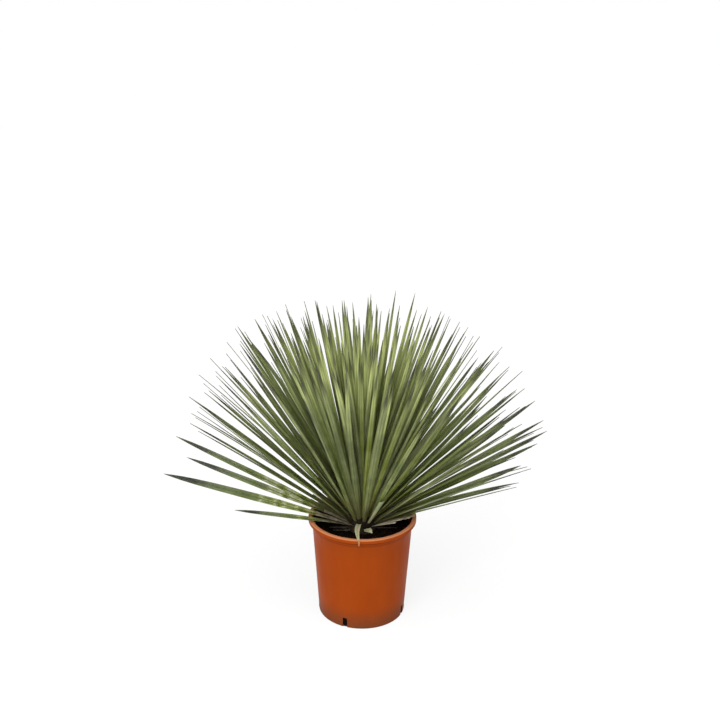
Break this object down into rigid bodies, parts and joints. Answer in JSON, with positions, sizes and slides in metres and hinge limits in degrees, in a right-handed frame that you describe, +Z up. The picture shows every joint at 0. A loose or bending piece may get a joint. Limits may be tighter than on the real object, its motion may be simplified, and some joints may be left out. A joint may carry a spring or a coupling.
{
  "type": "beaked yucca in pot",
  "caption": "Rosette of stiff narrow grey-green leaves on a short woody stem, growing in peat in a tapered terracotta-coloured plastic pot.",
  "frame": {"origin": "middle of the pot's flat underside, on the surface that the pot stands on", "axes": "+Z up along the pot's axis; +X to the right and -Y towards the viewer of the picture"},
  "size_m": [0.9029, 0.7227, 0.7776],
  "materials": {
    "pot": "satin",
    "soil": "matte",
    "stem": "matte",
    "leaf": "satin",
    "cut_leaf": "matte"
  },
  "bodies": {
    "root": {"pot": "pot", "soil": "soil", "stem": "stem", "leaf_head": "leaf", "cut_leaf_front": "cut_leaf", "cut_leaf_stub": "cut_leaf"}
  },
  "joints": []
}
